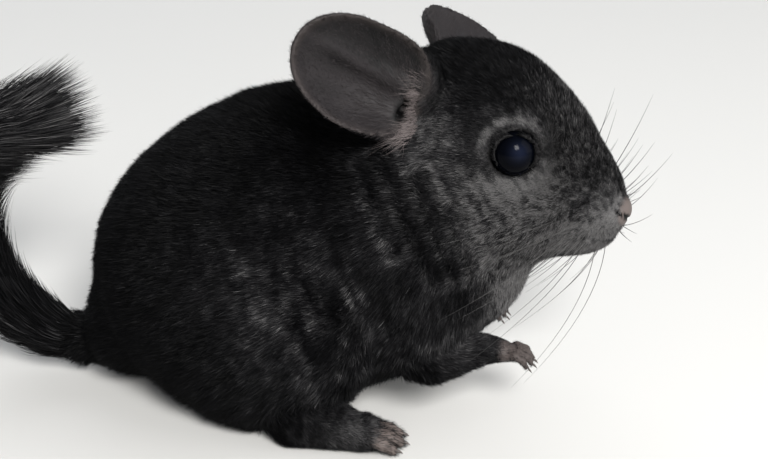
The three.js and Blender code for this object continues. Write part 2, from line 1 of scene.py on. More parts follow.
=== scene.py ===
import math
import bpy
import numpy as np
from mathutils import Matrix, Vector


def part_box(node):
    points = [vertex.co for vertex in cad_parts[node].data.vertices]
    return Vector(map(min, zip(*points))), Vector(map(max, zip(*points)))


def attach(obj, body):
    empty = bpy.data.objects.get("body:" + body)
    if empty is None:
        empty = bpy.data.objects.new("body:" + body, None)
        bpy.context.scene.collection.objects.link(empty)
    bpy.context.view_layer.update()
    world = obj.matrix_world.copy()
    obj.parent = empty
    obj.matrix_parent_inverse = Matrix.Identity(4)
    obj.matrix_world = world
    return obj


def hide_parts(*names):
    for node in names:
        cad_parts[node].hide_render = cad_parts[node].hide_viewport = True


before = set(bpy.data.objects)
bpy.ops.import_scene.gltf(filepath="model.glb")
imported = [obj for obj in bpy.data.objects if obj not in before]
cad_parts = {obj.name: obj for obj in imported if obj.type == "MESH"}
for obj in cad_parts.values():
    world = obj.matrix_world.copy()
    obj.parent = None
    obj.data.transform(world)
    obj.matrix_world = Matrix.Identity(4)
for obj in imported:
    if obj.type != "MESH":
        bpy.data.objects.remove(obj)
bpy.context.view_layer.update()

X, Y, Z = 0, 1, 2
MM = 1000  # in a metre

TRUNK_HEIGHT = 71
TRUNK_HALF_WIDTH = 34
EYE_RADIUS = 4.9
EYE = np.array([29.3, -15.4, 63.7])
EYE_RAISED = 1.6  # from the solid eye to where the photo shows it
EYE_OUTWARD = np.array([0.24, -0.96, 0.14])
NOSE = np.array([50.2, 0.0, 49.5])
PAW_HEIGHT = 17.5
EAR_LENGTH = 35
EAR_WIDTH = 25
EAR_CUP = 5
LEFT_ARM_BACK = 8.5
MIRROR = np.array([1.0, -1.0, 1.0])

low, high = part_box("eye_right")
SHIFT = (np.array(low) + np.array(high)) / 2 * MM - EYE
EYE = EYE + [0, 0, EYE_RAISED]


def unit(v):
    v = np.asarray(v, float)
    return v / np.maximum(1e-9, np.linalg.norm(v, axis=-1, keepdims=True))


def smoothstep(a, b, x):
    t = np.clip((x - a) / (b - a), 0, 1)
    return t * t * (3 - 2 * t)


def fold(p):
    """Both sides of the animal laid onto its right side."""
    return np.c_[p[:, X], -np.abs(p[:, Y]), p[:, Z]]


def either_arm(form, p):
    """A form of the right arm and its mirror image on the left arm, which is held further back."""
    return np.minimum(form(p), form(p * MIRROR + [LEFT_ARM_BACK, 0, 0]))


def either_ear(forms, p):
    return np.minimum(forms["right"](p), forms["left"](p))


# Rounded forms, each a function that is negative inside, in millimetres from the surface


def ellipsoid(centre, radii, pitch=0, yaw=0):
    cp, sp = math.cos(math.radians(pitch)), math.sin(math.radians(pitch))
    cy, sy = math.cos(math.radians(yaw)), math.sin(math.radians(yaw))
    rx, ry, rz = radii

    def form(p):
        x, y, z = p[:, X] - centre[X], p[:, Y] - centre[Y], p[:, Z] - centre[Z]
        ahead, side = x * cy + y * sy, y * cy - x * sy
        a, b, c = (ahead * cp - z * sp) / rx, side / ry, (ahead * sp + z * cp) / rz
        near = np.sqrt(a * a + b * b + c * c)
        slope = np.sqrt((a / rx) ** 2 + (b / ry) ** 2 + (c / rz) ** 2)
        return np.where(slope < 1e-9, -min(radii), near * (near - 1) / np.maximum(slope, 1e-9))

    return form


def limb(a, b, ra, rb):
    a, b = np.asarray(a, float), np.asarray(b, float)
    way = b - a

    def form(p):
        off = p - a
        t = np.clip(off @ way / (way @ way), 0, 1)
        return np.linalg.norm(off - t[:, None] * way, axis=1) - (ra + t * (rb - ra))

    return form


def soft_min(soft, a, b):
    h = np.maximum(soft - np.abs(a - b), 0) / soft
    return np.minimum(a, b) - h * h * soft / 4


def blend(soft, *forms):
    def form(p):
        made = forms[0](p)
        for other in forms[1:]:
            made = soft_min(soft, made, other(p))
        return made

    return form


def both(form):
    return lambda p: np.minimum(form(p), form(p * MIRROR))


def chain(points, radii, soft=0.6):
    return blend(
        soft,
        *[limb(points[n], points[n + 1], radii[n], radii[n + 1]) for n in range(len(points) - 1)],
    )


def distance_to_line(p, points):
    best = np.full(len(p), 1e9)
    for a, b in zip(points[:-1], points[1:]):
        best = np.minimum(best, limb(a, b, 0, 0)(p))
    return best


# The coat's outer surface, the same forms as in the solids

thigh = ellipsoid([-22, -23, 20], [25, 14.5, 21.5], -12, -6)
upper_arm = ellipsoid([13, -17, 30], [10, 9, 17], 14)
trunk = blend(
    12,
    ellipsoid([-36, 0, 28.5], [30, TRUNK_HALF_WIDTH, 30.5]),
    ellipsoid([-18, 0, 39.5], [32, 30, TRUNK_HEIGHT - 39.5]),
    ellipsoid([9, 0, 42], [22, 24.5, 28]),
    ellipsoid([-22, 0, 20], [38, 29, 20]),
)
rump = ellipsoid([-56, -3, 13], [13, 19, 13])
chest = ellipsoid([19, 0, 34], [13, 15, 15], 20)
neck = ellipsoid([9, 0, 56], [21, 21, 22], 40)
body = blend(7, trunk, rump, chest, neck, both(thigh), both(upper_arm))
skull = ellipsoid([21.5, 0, 65], [20, 18.5, 17.2], 22)
face = ellipsoid([33, 0, 57.5], [16.5, 12.5, 13.5], 46)
muzzle = ellipsoid([42.3, 0, 49.5], [8.6, 7.8, 9], 34)
cheek = ellipsoid([27, -9, 53], [14.5, 10.5, 12.5], 30, 14)
jaw = ellipsoid([35, 0, 44.5], [11, 8.5, 7.2], 10)
whisker_pad = ellipsoid([44.4, -3.6, 46.4], [5.4, 4.6, 5.2], 30)
brow = ellipsoid([28.6, -11.5, 69.2], [7.5, 4.8, 3.4], 18)
head = blend(6, skull, face, muzzle, both(cheek), jaw, both(whisker_pad), both(brow))
coat = blend(8, body, head)

# Limbs

ELBOW = [14, -16.5, PAW_HEIGHT]
WRIST = [26, -10.5, PAW_HEIGHT]
forearm = limb(ELBOW, WRIST, 6.2, 3.1)
palm = blend(
    0.9,
    ellipsoid([28.5, -10.3, PAW_HEIGHT - 0.4], [3.6, 2.8, 2], 8),
    limb([25, -10.8, PAW_HEIGHT], [28, -10.3, PAW_HEIGHT - 0.2], 3, 2.3),
)
FINGERS = [
    [
        [29.2, -10.3 + 1.25 * n, PAW_HEIGHT - 0.4],
        [31.6 - 0.3 * n * n, -10.2 + 1.65 * n, PAW_HEIGHT],
        [33.6 - 0.35 * n * n, -10.1 + 1.95 * n, PAW_HEIGHT - 0.8],
        [34.6 - 0.4 * n * n, -10.1 + 2.05 * n, PAW_HEIGHT - 2.2],
    ]
    for n in (-1.5, -0.5, 0.5, 1.5)
]
THUMB = [[27.6, -9, PAW_HEIGHT - 1], [28.8, -8, PAW_HEIGHT - 2], [29.6, -7.6, PAW_HEIGHT - 3]]
finger_forms = [chain(way, [0.9, 0.95, 0.86, 0.68], 0.4) for way in FINGERS]
hand = blend(0.5, palm, *finger_forms, chain(THUMB, [0.9, 0.8, 0.6], 0.4))

HEEL = [-14, -28.5, 4.4]
INSTEP = [1, -27.5, 4.2]
foot = blend(1.6, limb(HEEL, INSTEP, 4.4, 3.9), limb([-12, -27.5, 7.5], [-4, -27.5, 6.2], 5.2, 3.8))
TOES = [
    [
        [-0.5, -27.2 + 2.1 * n, 3.2],
        [3.4 - 0.3 * n * n, -26.8 + 2.7 * n, 3.4],
        [6.6 - 0.6 * n * n, -26.4 + 3.1 * n, 2.8],
        [9 - 0.9 * n * n, -26.1 + 3.35 * n, 1.6],
    ]
    for n in (-1, 0, 1)
]
INNER_TOE = [[-4, -24, 3], [-1, -22.8, 2.5], [1.6, -22, 1.7]]
toe_forms = [chain(way, [1.8, 1.85, 1.6, 1.3], 0.5) for way in TOES]
whole_foot = blend(0.8, foot, *toe_forms, chain(INNER_TOE, [1.5, 1.5, 1.2], 0.5))

# Tail

TAIL_POINTS = np.array(
    [
        [-52, -6, 10],
        [-62, -8, 9],
        [-74, -9.5, 9.5],
        [-86, -11, 17.5],
        [-95, -11.5, 30],
        [-97, -10.5, 43],
        [-91.5, -8.5, 53],
        [-83, -6.5, 57.5],
        [-75, -5, 60],
    ],
    float,
)


def smooth_path(points, steps):
    """A smooth curve through all but the first and last points, with each place's share of its length."""
    made = []
    for n in range(1, len(points) - 2):
        a, b, c, d = points[n - 1 : n + 3]
        for t in np.arange(steps) / steps:
            made.append(
                0.5
                * (2 * b + (c - a) * t + (2 * a - 5 * b + 4 * c - d) * t**2 + (3 * b - a - 3 * c + d) * t**3)
            )
    made.append(points[-2])
    made = np.array(made)
    lengths = np.r_[0, np.cumsum(np.linalg.norm(np.diff(made, axis=0), axis=1))]
    return made, lengths


TAIL, TAIL_AT = smooth_path(TAIL_POINTS, 8)
TAIL_LENGTH = TAIL_AT[-1]
tail_radii = 5.2 - 2.4 * (TAIL_AT / TAIL_LENGTH) ** 1.5
tail_core = chain(TAIL[::4], tail_radii[::4], 1.0)

# Ears

EARS = {
    "right": ([10.5, -13.5, 70.5], [-0.71, -0.42, 0.56], [0.34, -0.86, 0.2]),
    "left": ([11.45, 10.83, 69.17], [-0.158, 0.986, 0.055], [0.462, 0.025, 0.887]),
}
# The leaf's rim: its distance from the leaf's middle at each turn from the root, in degrees and millimetres
RIM_TURNS = [-180, -162, -151, -123, -82, -56, -40, -24, 0, 25, 53, 75, 103, 131, 153, 168, 180]
RIM_REACH = [
    15.8, 14.2, 12.5, 9.7, 8.8, 9.6, 10.9, 13.0, 14.5, 14.5, 13.8, 12.2, 11.6, 13.5, 15.5, 16.3, 15.8,
]
SMOOTHED_OVER = range(-14, 15, 2)
RIM_TABLE_AT = np.linspace(-180, 180, 181)
wrapped = np.interp(RIM_TABLE_AT, RIM_TURNS, RIM_REACH)
RIM_TABLE = sum(
    np.interp((RIM_TABLE_AT + turn + 180) % 360 - 180, RIM_TABLE_AT, wrapped) for turn in SMOOTHED_OVER
) / len(SMOOTHED_OVER)



def ear_frame(name):
    root, tip, opening = (np.array(v, float) for v in EARS[name])
    along = unit(tip)
    hollow = unit(opening - (opening @ along) * along)
    return root, np.cross(along, hollow), along, hollow


def ear_local(p, name):
    root, wide, along, hollow = ear_frame(name)
    q = p - root
    return q @ wide, q @ along, q @ hollow


def ear_out(across, up):
    """How far out of the leaf's middle (0) towards its rim (1) a place is."""
    down = EAR_LENGTH / 2 - up
    return np.hypot(across, down) / np.interp(np.degrees(np.arctan2(across, down)), RIM_TABLE_AT, RIM_TABLE)


def ear_cup(across, up):
    out = np.minimum(ear_out(across, up), 1.3)
    cup = EAR_CUP * out**2 * (1.35 - 0.75 * up / EAR_LENGTH) + 0.9 * out**8
    ridge = 1.5 * np.exp(-(((across - 3.2) / 1.7) ** 2)) * smoothstep(3, 11, up) * smoothstep(31, 22, up)
    return cup * smoothstep(-4, 11, up) + ridge


def ear_place(name, across, up, depth):
    root, wide, along, hollow = ear_frame(name)
    return root + wide * across + along * up + hollow * depth


EAR_HALF = 0.58  # half of the leaf's thickness


def ear_form(name):
    def form(p):
        made = np.full(len(p), 30.0)
        across, up, depth = ear_local(p, name)
        near = (np.abs(across) < 18) & (up > -8) & (up < 42) & (np.abs(depth) < 16)
        a, u, d = across[near], up[near], depth[near]
        cup = ear_cup(a, u)
        step = 0.05
        slope = np.hypot((ear_cup(a + step, u) - cup) / step, (ear_cup(a, u + step) - cup) / step)
        sheet = np.abs(d - cup) / np.sqrt(1 + slope**2) - EAR_HALF
        rim = np.maximum((ear_out(a, u) - 1) * EAR_WIDTH / 2, 1.5 + 0.36 * a - u)
        made[near] = -soft_min(0.5, -sheet, -rim)
        return made

    return form


ear_forms = {name: ear_form(name) for name in EARS}


def canal(name):
    return blend(
        1.0,
        limb(ear_place(name, -1.2, 5.2, 4.5), ear_place(name, -0.5, 3.6, -2), 1.7, 1.2),
        limb(ear_place(name, 2.4, 6.0, 4.0), ear_place(name, 0.5, 4.4, 0.5), 1.2, 1.0),
    )


def ear_mound(name):
    """The fold of the head in front of the ear, which its front edge runs into."""
    line = [(-1.5, 1.0, 0.5), (3, 3.0, 1.6), (7, 5.0, 2.2), (9.6, 6.4, 1.6)]
    return chain([ear_place(name, *place) for place in line], [0.9, 1.7, 1.8, 0.9], 1.5)


mounds = {name: ear_mound(name) for name in EARS}


def ear_base(name):
    """The flesh behind the leaf's root and under its front edge, which joins it to the head."""
    side = -1 if name == "right" else 1
    return blend(
        3,
        limb(ear_place(name, 0, -4, -4.5), ear_place(name, 0.5, 10, -1.6), 5, 1.8),
        limb(ear_place(name, 9.2, 6.6, 0.6), [13.5, side * 9, 71.5], 1.2, 5.5),
        limb(ear_place(name, 6.2, 4.8, 0.9), [13, side * 10.5, 69], 2, 5),
        limb(ear_place(name, 2, 2.6, 0.6), [12, side * 11.5, 66.5], 2, 5),
    )


bases = {name: ear_base(name) for name in EARS}
canals = {name: canal(name) for name in EARS}

# The skin, which lies inside the coat's outer surface by the coat's depth

CREASES = [
    [[4.8, -18.6, 64.4], [8.1, -21.4, 58.2], [11.4, -22.6, 51.4], [14.4, -23.2, 45.7], [16.5, -23, 41]],
    [[12.3, -20.4, 60.7], [15.1, -21.4, 54.5], [18, -22, 46.7], [20.5, -21.2, 41.5]],
    [[1.6, -19.3, 62.1], [5.4, -22.9, 53.2], [8.6, -23.9, 46.3]],
    [[19.1, -20.8, 53.5], [22.1, -20.4, 47.1], [24.1, -19.1, 41.6]],
]
CREASE_UNDER = 1.4  # from the lines up to the skin
CREASE_DEEP = 2.0


def eye_gap(p):
    return np.minimum(np.linalg.norm(p - EYE, axis=1), np.linalg.norm(p - EYE * MIRROR, axis=1))


def coat_depth(p):
    from_nose = np.linalg.norm(p - NOSE, axis=1)
    depth = 0.5 + 0.8 * smoothstep(6, 30, from_nose) + 1.5 * smoothstep(34, 70, from_nose)
    return np.minimum(depth, 0.5 + 3.5 * smoothstep(EYE_RADIUS, 26, eye_gap(p)))


def from_crease(p):
    """How far a place near the surface is from the nearest crease, to its side."""
    q = fold(p)
    return np.maximum(0, np.minimum.reduce([distance_to_line(q, line) for line in CREASES]) - CREASE_UNDER)


def crease_depth(p):
    return CREASE_DEEP * np.exp(-((from_crease(p) / 0.9) ** 2))


LID_RING = 3.9
LID_HALF = 0.52
LID_OUT = 3.0
LID_UP = 0.4
LID_TILT = -10


def lid_form(p):
    """The two lids as one ring round the eye, a little longer than high."""
    outward = unit(EYE_OUTWARD)
    ahead = unit(np.cross([0, 0, 1.0], outward))
    ahead = ahead if ahead[X] > 0 else -ahead
    up = np.cross(outward, ahead)
    up = up if up[Z] > 0 else -up
    tilt = math.radians(LID_TILT)
    long = ahead * math.cos(tilt) + up * math.sin(tilt)
    tall = up * math.cos(tilt) - ahead * math.sin(tilt)
    q = p - (EYE + outward * LID_OUT + tall * LID_UP)
    flat = np.hypot(q @ long / 1.1, q @ tall / 0.94) - LID_RING
    return np.hypot(flat, q @ outward) - LID_HALF


NOSTRIL = [
    [NOSE[X] + 1.9, -0.9, NOSE[Z] - 1.9],
    [NOSE[X] + 1.2, -2.2, NOSE[Z] - 0.9],
    [NOSE[X] - 0.5, -3.4, NOSE[Z] + 0.3],
]
MOUTH_TOP = [NOSE[X] + 0.8, 0, NOSE[Z] - 5.2]
PHILTRUM = [[NOSE[X] + 1.9, 0, NOSE[Z] - 2.2], [NOSE[X] + 1.4, 0, NOSE[Z] - 3.8], MOUTH_TOP]
MOUTH = [
    [44.1, -7.4, 44.9],
    [45.8, -6.6, 44.2],
    [47.0, -5.7, 43.7],
    [49.4, -3.6, 43.5],
    [50.4, -1.8, 43.8],
    MOUTH_TOP,
]
nose_pad = ellipsoid([NOSE[X] + 0.3, 0, NOSE[Z] - 0.8], [2.1, 3.3, 2.6], 30)
nostril = chain(NOSTRIL, [0.35, 0.5, 0.3], 0.3)
philtrum = chain(PHILTRUM, [0.35, 0.35, 0.4], 0.3)
mouth = chain(MOUTH, [0.3, 0.4, 0.45, 0.45, 0.45, 0.5], 0.3)
NOSE_TURN = 2.6


def turned(p):
    """The nose and mouth lie a little to the right, as the head is turned."""
    return p + np.c_[0 * p[:, X], NOSE_TURN * smoothstep(34, 50, p[:, X]), 0 * p[:, X]]


def carve(soft, made, cut):
    return -soft_min(soft, -made, cut)


EYE_ROOM = 0.04  # between the eyeball and its socket
FLOOR_CLEAR = 0.15  # under the skin, and under hair that reaches the floor


def skin(p):
    q = fold(p)
    made = coat(p) + coat_depth(p) + crease_depth(p)
    made = soft_min(2.4, made, nose_pad(turned(p)))
    made = soft_min(4, made, either_arm(forearm, p) + 1.2)
    made = soft_min(2, made, either_arm(hand, p) + 0.15)
    made = soft_min(3, made, whole_foot(q) + 0.25)
    made = soft_min(4, made, tail_core(p) + 0.5)
    made = soft_min(0.9, made, lid_form(q))
    made = carve(0.25, made, np.linalg.norm(q - EYE, axis=1) - EYE_RADIUS - EYE_ROOM)
    turned_here = turned(p)
    made = carve(0.5, made, nostril(fold(turned_here)))
    made = carve(0.6, made, philtrum(turned_here))
    made = carve(0.6, made, mouth(fold(turned_here)))
    for name, ear in ear_forms.items():
        made = soft_min(5, made, bases[name](p))
        made = soft_min(4, made, mounds[name](p))
        made = soft_min(1.6, made, ear(p))
        made = carve(1.2, made, canals[name](p))
    return np.maximum(made, FLOOR_CLEAR - p[:, Z])


def gradient(form, p, step=0.05):
    here = form(p)
    made = np.empty_like(p)
    for k in range(3):
        q = p.copy()
        q[:, k] += step
        made[:, k] = (form(q) - here) / step
    return here, made


COARSE_REACH = 4.5  # in cells: how near the surface the fine grid is worked out
NEWTON_STEPS = 3


def surface(form, low, high, cell):
    """The closed surface where a form is zero: one vertex in each grid cell that it crosses."""
    low, high = np.array(low, float), np.array(high, float)
    count = np.ceil((high - low) / cell).astype(int) + 1
    axes = [low[k] + cell * np.arange(count[k]) for k in range(3)]
    coarse = np.meshgrid(*[axis[::2] for axis in axes], indexing="ij")
    far = form(np.stack([c.ravel() for c in coarse], 1)).reshape(coarse[0].shape)
    for k in range(3):
        far = np.repeat(far, 2, axis=k)
    values = far[: count[X], : count[Y], : count[Z]].copy()
    close = np.argwhere(np.abs(values) < COARSE_REACH * cell)
    values[tuple(close.T)] = form(low + cell * close)
    inside = values < 0
    corners = [(c & 1, (c >> 1) & 1, (c >> 2) & 1) for c in range(8)]
    total = sum(
        inside[tuple(slice(o[k], count[k] - 1 + o[k]) for k in range(3))].astype(int) for o in corners
    )
    cells = np.argwhere((total > 0) & (total < 8))
    middle = np.zeros((len(cells), 3))
    crossings = np.zeros(len(cells))
    for m, a in enumerate(corners):
        for b in corners[m + 1 :]:
            if sum(abs(u - v) for u, v in zip(a, b)) != 1:
                continue
            ia, ib = cells + a, cells + b
            va, vb = values[tuple(ia.T)], values[tuple(ib.T)]
            crossed = (va < 0) != (vb < 0)
            t = np.where(crossed, va / np.where(crossed, va - vb, 1), 0)[:, None]
            middle += np.where(crossed[:, None], ia + t * (ib - ia), 0)
            crossings += crossed
    start = low + cell * middle / crossings[:, None]
    p = start.copy()
    for _ in range(NEWTON_STEPS):
        here, slope = gradient(form, p)
        p -= slope * (here / np.maximum(0.2, (slope**2).sum(1)))[:, None]
        p = np.clip(p, start - cell / 2, start + cell / 2)
    number = np.full(np.array(count) - 1, -1)
    number[tuple(cells.T)] = np.arange(len(cells))
    quads = []
    rings = [
        [(0, 0, 0), (0, 1, 0), (0, 1, 1), (0, 0, 1)],
        [(0, 0, 0), (0, 0, 1), (1, 0, 1), (1, 0, 0)],
        [(0, 0, 0), (1, 0, 0), (1, 1, 0), (0, 1, 0)],
    ]
    for d in range(3):
        step = np.eye(3, dtype=int)[d]
        a = inside[tuple(slice(1, count[k] - 1) for k in range(3))]
        b = inside[tuple(slice(1 + step[k], count[k] - 1 + step[k]) for k in range(3))]
        for here in (True, False):
            edges = np.argwhere((a == here) & (b != here)) + 1
            ring = [number[tuple((edges - o).T)] for o in rings[d]]
            quads.append(np.stack(ring if here else ring[::-1], 1))
    return p, np.concatenate(quads)


# Repeatable noise


HASH_X, HASH_Y, HASH_Z, HASH_SEED, HASH_MIX = 73856093, 19349663, 83492791, 2654435761, 1274126177
HASH_TOP = 0xFFFFFF


def noise(p, scale, seed):
    """Smooth noise from -1 to 1, with waves about twice as long as the scale."""
    q = p / scale + seed * 17.31
    i = np.floor(q).astype(np.int64)
    f = q - i
    f = f * f * (3 - 2 * f)
    made = np.zeros(len(p))
    for c in range(8):
        o = np.array([c & 1, (c >> 1) & 1, (c >> 2) & 1])
        n = i + o
        h = (n[:, X] * HASH_X) ^ (n[:, Y] * HASH_Y) ^ (n[:, Z] * HASH_Z) ^ (seed * HASH_SEED)
        h = (h ^ (h >> 13)) * HASH_MIX
        value = ((h ^ (h >> 16)) & HASH_TOP) / HASH_TOP
        weight = np.prod(np.where(o, f, 1 - f), axis=1)
        made += weight * value
    return 2 * made - 1


rng = np.random.default_rng(7)

# Markings and painted light and shade, shared by skin and coat: how pale it is, from 0 for black to 1 for
# the palest grey


def bump(p, centre, radii):
    return np.exp(-(((p - centre) / radii) ** 2).sum(1))


def line_at(distance, middle, width):
    return np.exp(-(((distance - middle) / width) ** 2))


WHISKER_ROWS = 5
WHISKER_COLUMNS = 5
FIRST_WHISKER = np.array([46.8, -4.6, 48.6])
NEXT_ROW = np.array([0.3, 0, -1.7])
NEXT_COLUMN = np.array([-2.0, -0.75, 0.4])
WHISKER_ROOTS = [
    FIRST_WHISKER + row * NEXT_ROW + column * NEXT_COLUMN
    for row in range(WHISKER_ROWS)
    for column in range(WHISKER_COLUMNS)
]

# Paler and darker patches, the same on both sides: how much paler, the middle and the radii
PATCHES = [
    (0.30, [-16, -32, 37], [14, 12, 14]),  # haunch, paler with painted sheen
    (0.18, [-4, -34, 20], [9, 12, 11]),  # front of the thigh
    (0.12, [8, -24, 36], [9, 10, 18]),  # ribs
    (0.34, [20, -16, 22], [10, 10, 8]),  # elbow
    (0.56, [-2, -28, 5], [12, 7, 5]),  # hind foot
    (0.22, [38, -12, 46.5], [9, 6, 4.5]),  # side of the jaw
    (0.22, [28, -17, 59], [6, 6, 3]),  # under the eye
    (0.15, [29, -14, 51], [9, 8, 6.5]),  # middle of the cheek
    (0.22, [18, -17, 71], [7, 6, 7]),  # temple
    (0.20, [20, -17, 54], [8, 8, 10]),  # back of the cheek
    (0.20, [34, -12, 55], [8, 7, 6]),  # front of the cheek
    (0.36, [12, -17, 74], [6, 8, 8]),  # in front of the ear
    (0.22, [14, -19, 64], [6, 6, 8]),  # under the ear
    (0.35, [40, -7, 44.5], [7, 5, 4]),  # lip
    (-0.20, [-34, -30, 14], [18, 14, 14]),  # back of the thigh, low down: painted shade
]
CHEST_PATCH = (0.95, [28, 0, 34], [8, 12, 8])
NOSE_PATCH = (0.45, [49.5, -5, 50], [4, 4, 4])
PLAIN = 0.20


def body_marks_and_painted_light(p, q):
    # Streaks on the flank: painted sheen on the waves of the coat.
    streaked = np.stack([q @ [0.94, 0, 0.35], 0.4 * q[:, Y], q @ [0.07, 0, -0.19]], 1)
    made = 0.42 * noise(streaked, 1.5, 8) * bump(q, [-2, -32, 30], [17, 14, 19])
    # Darker along the top of the back and towards the rear: partly the coat's own darker back, partly
    # painted shade.
    made -= 0.16 * smoothstep(48, 64, p[:, Z]) * smoothstep(8, -12, p[:, X])
    made -= 0.14 * smoothstep(-30, -50, p[:, X])
    # Paler on the left, far side: painted light where the lamps reach less.
    made += 0.16 * smoothstep(6, 26, p[:, Y])
    crease = from_crease(p)
    # Painted shade along each crease, and a painted highlight on the ridges beside it.
    return made + 0.26 * line_at(crease, 1.5, 0.9) - 0.16 * line_at(crease, 0, 0.8)


def face_marks_and_painted_light(p, q, from_nose):
    face_here = smoothstep(46, 24, from_nose)
    made = face_here * (0.22 * noise(p, 0.5, 3) + 0.17 * noise(p, 1.0, 18))
    made += 0.38 * smoothstep(44, 26, from_nose) - 0.08 * smoothstep(68, 78, p[:, Z])
    made += smoothstep(24, 12, from_nose) * (0.30 * noise(p, 0.75, 9) + 0.10 * noise(p, 1.6, 10) - 0.04)
    muzzle_here = smoothstep(18, 6, from_nose)
    made += 0.62 * muzzle_here * smoothstep(52, 45, p[:, Z]) - 0.02 * muzzle_here
    # Stripes under the eye: painted light and shade of fine wrinkles.
    wrinkle_shading = np.sin(q @ [2.0, 0, 1.5] + 2.5 * noise(p, 3, 7))
    made += 0.20 * wrinkle_shading * bump(q, [29, -17, 56], [9, 8, 6])
    # The mouth line and the nostrils are darkened with painted shade.
    opened = fold(turned(p))
    made -= 0.5 * smoothstep(0.7, 0.1, mouth(opened)) + 0.25 * smoothstep(0.9, 0.1, nostril(opened))
    for root in WHISKER_ROOTS:
        made -= 0.5 * line_at(np.linalg.norm(q - root, axis=1), 0, 0.7)
    return made


def eye_marks(p, q):
    """A pale arc above the eye, a paler field below it and a dark rim round it."""
    eye = np.linalg.norm(q - EYE, axis=1)
    above = smoothstep(-1, 3, q[:, Z] - EYE[Z]) * smoothstep(7, 1, q[:, X] - EYE[X])
    below = smoothstep(-1, -4, q[:, Z] - EYE[Z])
    behind = smoothstep(-9.5, -5, q[:, X] - EYE[X])
    broken = 0.9 + 0.35 * noise(p, 1.5, 6)
    made = 0.62 * line_at(eye, 6.7, 0.8) * above * behind * broken
    made += 0.26 * line_at(eye, 9.0, 2.4) * below * broken
    return made - 0.35 * smoothstep(6.0, 5.1, eye)


# The coat's markings, with painted sheen, painted shade and painted light mixed in.
def markings_and_painted_light(p):
    q = fold(p)
    from_nose = np.linalg.norm(p - NOSE, axis=1)
    mottle = 0.06 * noise(p, 7, 1) + 0.10 * noise(p, 2.6, 2) + 0.17 * noise(p * [1, 1, 0.5], 1.1, 5)
    made = PLAIN + mottle * (1 - 0.65 * smoothstep(46, 24, from_nose)) + 0.05 * noise(p, 1.7, 4)
    for amount, centre, radii in PATCHES:
        made += amount * bump(q, centre, radii)
    for amount, centre, radii in (CHEST_PATCH, NOSE_PATCH):
        made += amount * bump(p, centre, radii)
    made += body_marks_and_painted_light(p, q) + face_marks_and_painted_light(p, q, from_nose) + eye_marks(p, q)
    return np.clip(made, 0.02, 1)


# Meshes


def mesh_object(name, vertices, faces, material, smooth=True):
    """vertices in millimetres of the animal's frame; faces an array, or a list of arrays, one for each
    number of corners."""
    mesh = bpy.data.meshes.new(name)
    groups = faces if isinstance(faces, list) else [faces]
    corners = np.concatenate([g.ravel() for g in groups]).astype(np.int32)
    sizes = np.concatenate([np.full(len(g), g.shape[1]) for g in groups]).astype(np.int32)
    mesh.vertices.add(len(vertices))
    mesh.vertices.foreach_set("co", ((vertices + SHIFT) / MM).astype(np.float32).ravel())
    mesh.loops.add(len(corners))
    mesh.loops.foreach_set("vertex_index", corners)
    mesh.polygons.add(len(sizes))
    mesh.polygons.foreach_set("loop_start", np.r_[0, np.cumsum(sizes)[:-1]].astype(np.int32))
    mesh.update(calc_edges=True)
    mesh.polygons.foreach_set("use_smooth", np.full(len(sizes), smooth))
    mesh.materials.append(material)
    made = bpy.data.objects.new(name, mesh)
    bpy.context.scene.collection.objects.link(made)
    return made


def give(obj, name, values):
    attribute = obj.data.attributes.new(name, "FLOAT", "POINT")
    attribute.data.foreach_set("value", np.asarray(values, np.float32))


def piece(obj, slot, *nodes):
    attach(obj, "root")
    if nodes:
        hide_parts(*nodes)
    return obj


# Materials


def material(name):
    made = bpy.data.materials.new(name)
    made.use_nodes = True
    nodes, links = made.node_tree.nodes, made.node_tree.links
    return made, nodes, links, nodes["Principled BSDF"]


def value_of(nodes, name):
    node = nodes.new("ShaderNodeAttribute")
    node.attribute_name = name
    return node.outputs["Fac"]


def mixed(nodes, links, factor, a, b):
    node = nodes.new("ShaderNodeMix")
    node.data_type = "RGBA"
    if isinstance(factor, float):
        node.inputs[0].default_value = factor
    else:
        links.new(factor, node.inputs[0])
    for place, colour in ((6, a), (7, b)):
        if isinstance(colour, tuple):
            node.inputs[place].default_value = (*colour, 1)
        else:
            links.new(colour, node.inputs[place])
    return node.outputs[2]


def ramp(nodes, links, factor, stops):
    node = nodes.new("ShaderNodeValToRGB")
    elements = node.color_ramp.elements
    while len(elements) < len(stops):
        elements.new(0.5)
    for element, (at, colour) in zip(elements, stops):
        element.position = at
        element.color = (*colour, 1)
    links.new(factor, node.inputs[0])
    return node.outputs[0]


COAT_STOPS = [
    (0.0, (0.0009, 0.0009, 0.0011)),
    (0.25, (0.0035, 0.0035, 0.0041)),
    (0.5, (0.014, 0.0138, 0.015)),
    (0.75, (0.055, 0.054, 0.056)),
    (1.0, (0.20, 0.195, 0.195)),
]


def coat_material():
    made, nodes, links, shader = material("coat")
    tone = ramp(nodes, links, value_of(nodes, "paleness"), COAT_STOPS)
    tip = nodes.new("ShaderNodeMapRange")
    links.new(value_of(nodes, "tip"), tip.inputs["Value"])
    tip.inputs["To Min"].default_value = 0.25
    tip.inputs["To Max"].default_value = 1.0
    colour = mixed(nodes, links, tip.outputs[0], (0.002, 0.002, 0.002), tone)
    links.new(colour, shader.inputs["Base Color"])
    shader.inputs["Roughness"].default_value = 0.5
    shader.inputs["Specular IOR Level"].default_value = 0.05
    return made


